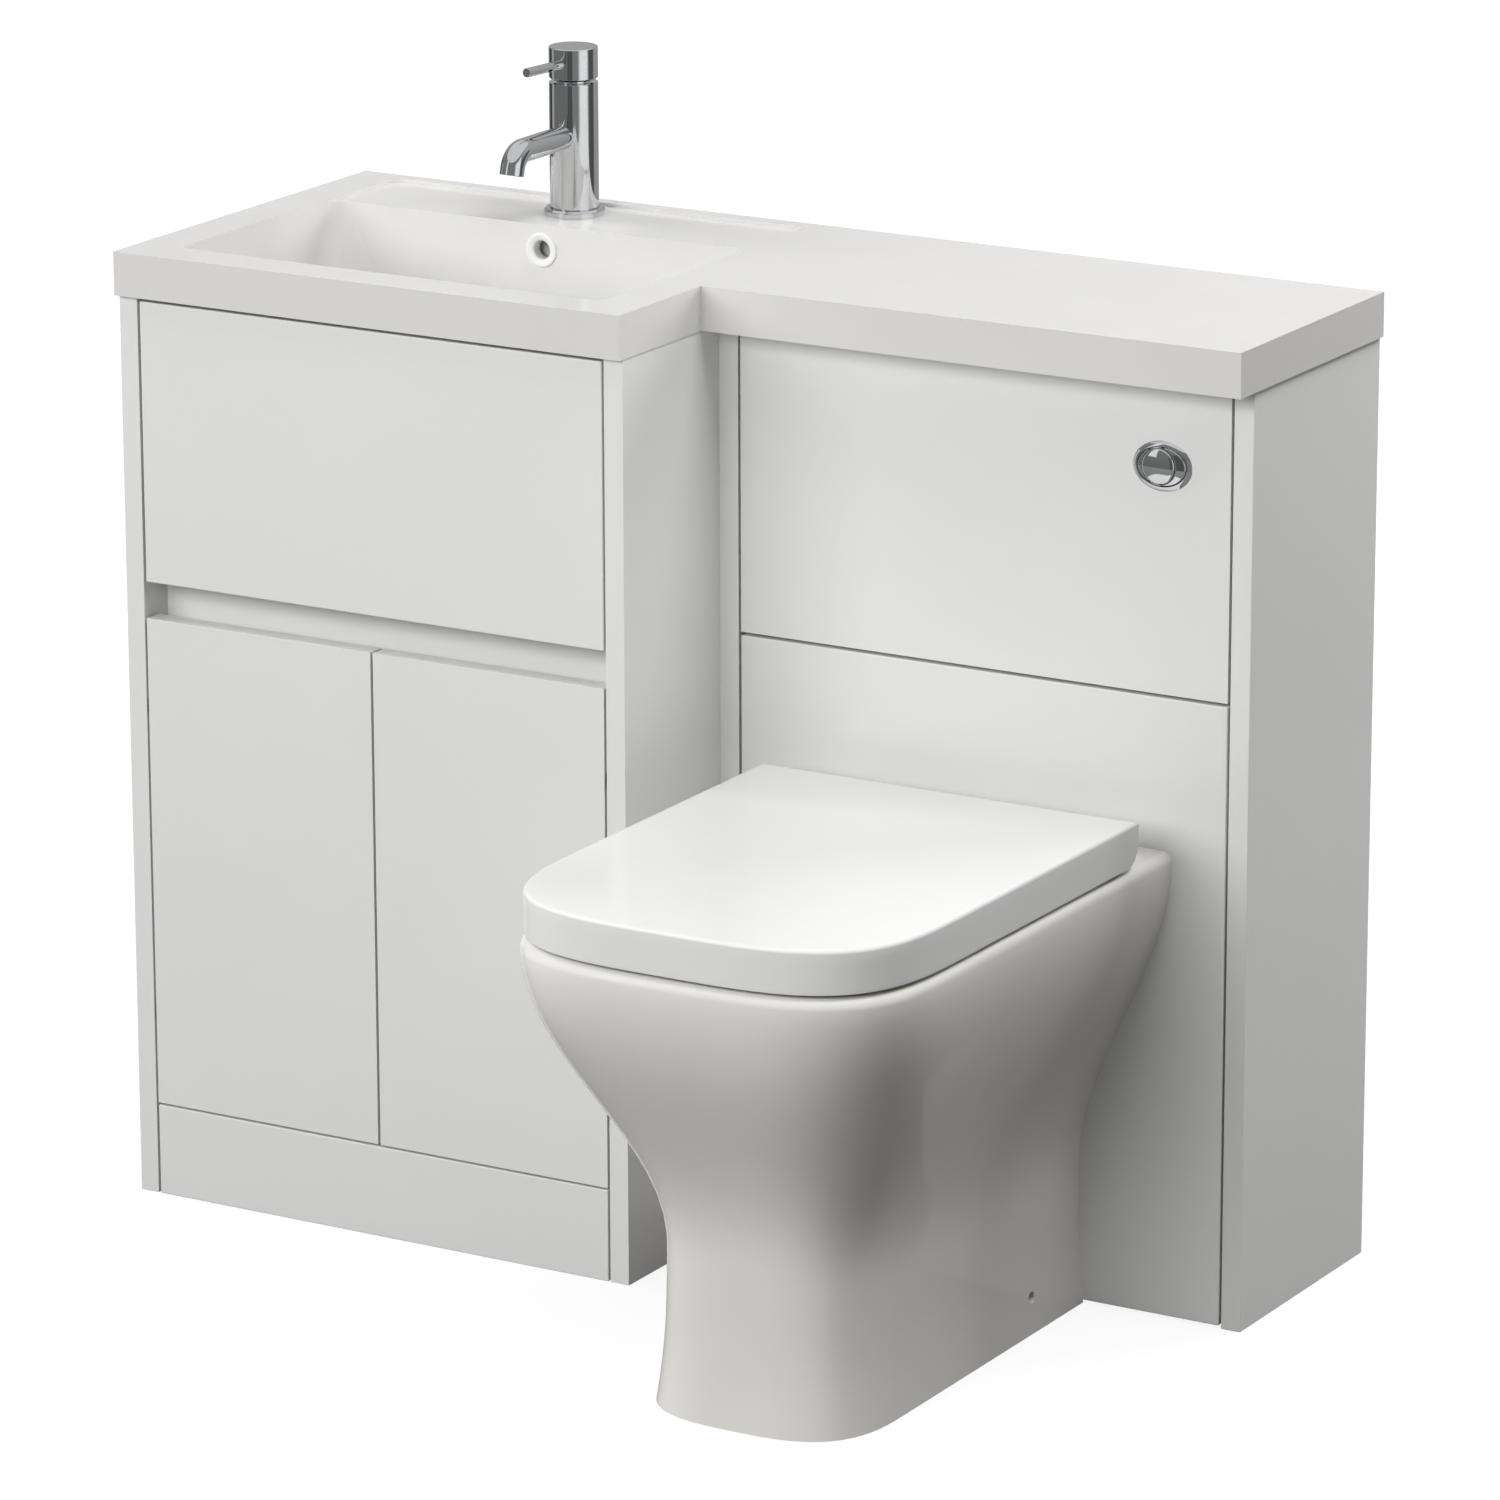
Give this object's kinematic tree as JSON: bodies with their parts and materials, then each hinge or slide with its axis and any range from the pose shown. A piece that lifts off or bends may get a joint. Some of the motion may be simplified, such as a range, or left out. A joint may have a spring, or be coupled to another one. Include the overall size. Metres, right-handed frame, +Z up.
{
  "type": "toilet and basin combination unit",
  "caption": "White floor-standing bathroom unit: basin cabinet with drawer and doors beside a shallow cistern cabinet with a back-to-wall toilet, under one L-shaped basin worktop.",
  "frame": {"origin": "on the floor, in the middle of the unit's width and of its depth from the wall to the pan's front", "axes": "+X to the right as seen from the front, +Y to the wall, +Z up"},
  "size_m": [1, 0.739, 0.982],
  "materials": {
    "board_gloss": "white gloss lacquer on board",
    "board_plain": "white melamine on board",
    "cast_top": "gloss white cast mineral resin",
    "vitreous_china": "gloss white glaze",
    "chrome": "polished chrome plate",
    "seat_plastic": "gloss white",
    "buffer_plastic": "soft white",
    "steel": "zinc plate",
    "white_plastic": "plain white",
    "grey_plastic": "plain grey",
    "rubber": "matt black"
  },
  "bodies": {
    "cabinet": {"basin_side_left": "board_gloss", "basin_side_right": "board_gloss", "basin_bottom_panel": "board_plain", "basin_back_rails": "board_plain", "handle_rail": "board_gloss", "basin_plinth": "board_gloss", "plinth_brackets": "white_plastic", "shelf": "board_gloss", "shelf_pins": "steel", "hinge_arms": "steel", "runners_fixed": "steel", "cabinet_bolts": "steel", "wc_side_left": "board_gloss", "wc_side_right": "board_gloss", "wc_access_panel": "board_gloss", "wc_lower_panel": "board_gloss", "wc_front_rails": "board_plain", "wc_back_rails": "board_plain", "panel_clips": "white_plastic", "worktop_basin": "cast_top", "overflow_ring": "white_plastic", "basin_waste": "chrome", "bottle_trap": "white_plastic", "trap_cup": "white_plastic", "waste_pipe": "white_plastic", "tap_body": "chrome", "tap_base_ring": "chrome", "tap_aerator": "chrome", "tap_cartridge": "grey_plastic", "tap_clamp": "steel", "pan": "vitreous_china", "pan_brackets": "white_plastic", "pan_connector": "white_plastic", "seat_hinge_posts": "steel", "cistern_tank": "white_plastic", "cistern_cover": "white_plastic", "flush_valve": "grey_plastic", "fill_valve": "grey_plastic", "flush_pipe": "white_plastic", "flush_bezel": "chrome"},
    "drawer": {"drawer_front": "board_gloss", "drawer_sides": "board_plain", "drawer_back_wall": "board_plain", "drawer_bottom": "board_plain", "runners_moving": "steel"},
    "left_door": {"door_left": "board_gloss", "hinge_pins_left": "steel"},
    "right_door": {"door_right": "board_gloss", "hinge_pins_right": "steel"},
    "lid": {"seat_lid": "seat_plastic"},
    "seat": {"seat_ring": "seat_plastic", "seat_buffers": "buffer_plastic"},
    "full_button": {"flush_button_full": "chrome"},
    "half_button": {"flush_button_half": "chrome"},
    "valve_piston": {"flush_valve_piston": "rubber"},
    "float": {"fill_float": "white_plastic"},
    "plug": {"waste_plug": "chrome"},
    "tap_stem": {"cartridge_stem": "steel"},
    "tap_lever_head": {"tap_head": "chrome", "tap_lever": "chrome"}
  },
  "joints": [
    {"name": "drawer_slide", "type": "slide", "parent": "cabinet", "child": "drawer", "axis": [0, -1, 0], "range_m": [0, 0.2]},
    {"name": "left_door_hinge", "type": "hinge", "parent": "cabinet", "child": "left_door", "pos_m": [-0.4703, -0.0085, 0.301], "axis": [0, 0, -1], "range_deg": [0, 95]},
    {"name": "right_door_hinge", "type": "hinge", "parent": "cabinet", "child": "right_door", "pos_m": [-0.0297, -0.0085, 0.301], "axis": [0, 0, 1], "range_deg": [0, 95]},
    {"name": "lid_hinge", "type": "hinge", "parent": "cabinet", "child": "lid", "pos_m": [0.248, 0.0675, 0.427], "axis": [-1, 0, 0], "range_deg": [0, 93]},
    {"name": "seat_hinge", "type": "hinge", "parent": "cabinet", "child": "seat", "pos_m": [0.248, 0.0675, 0.427], "axis": [-1, 0, 0], "range_deg": [0, 90.3]},
    {"name": "full_button_press", "type": "slide", "parent": "cabinet", "child": "full_button", "axis": [0, 1, 0], "range_m": [0, 0.004], "stiffness_N_per_m": 400},
    {"name": "half_button_press", "type": "slide", "parent": "cabinet", "child": "half_button", "axis": [0, 1, 0], "range_m": [0, 0.004], "stiffness_N_per_m": 400},
    {"name": "valve_piston_lift", "type": "slide", "parent": "cabinet", "child": "valve_piston", "axis": [0, 0, 1], "range_m": [0, 0.0121]},
    {"name": "float_rise", "type": "slide", "parent": "cabinet", "child": "float", "axis": [0, 0, 1], "range_m": [0, 0.06]},
    {"name": "plug_lift", "type": "slide", "parent": "cabinet", "child": "plug", "axis": [0, 0, 1], "range_m": [0, 0.008]},
    {"name": "tap_swivel", "type": "hinge", "parent": "cabinet", "child": "tap_stem", "pos_m": [-0.25, 0.3165, 0.95], "axis": [0, 0, 1], "range_deg": [-45, 45]},
    {"name": "tap_tilt", "type": "hinge", "parent": "tap_stem", "child": "tap_lever_head", "pos_m": [-0.25, 0.3255, 0.962], "axis": [-1, 0, 0], "range_deg": [0, 15]}
  ],
  "couplings": [
    {"joint": "seat_hinge", "follows": "lid_hinge", "ratio": 0.97},
    {"joint": "valve_piston_lift", "follows": "full_button_press", "ratio": 3}
  ]
}
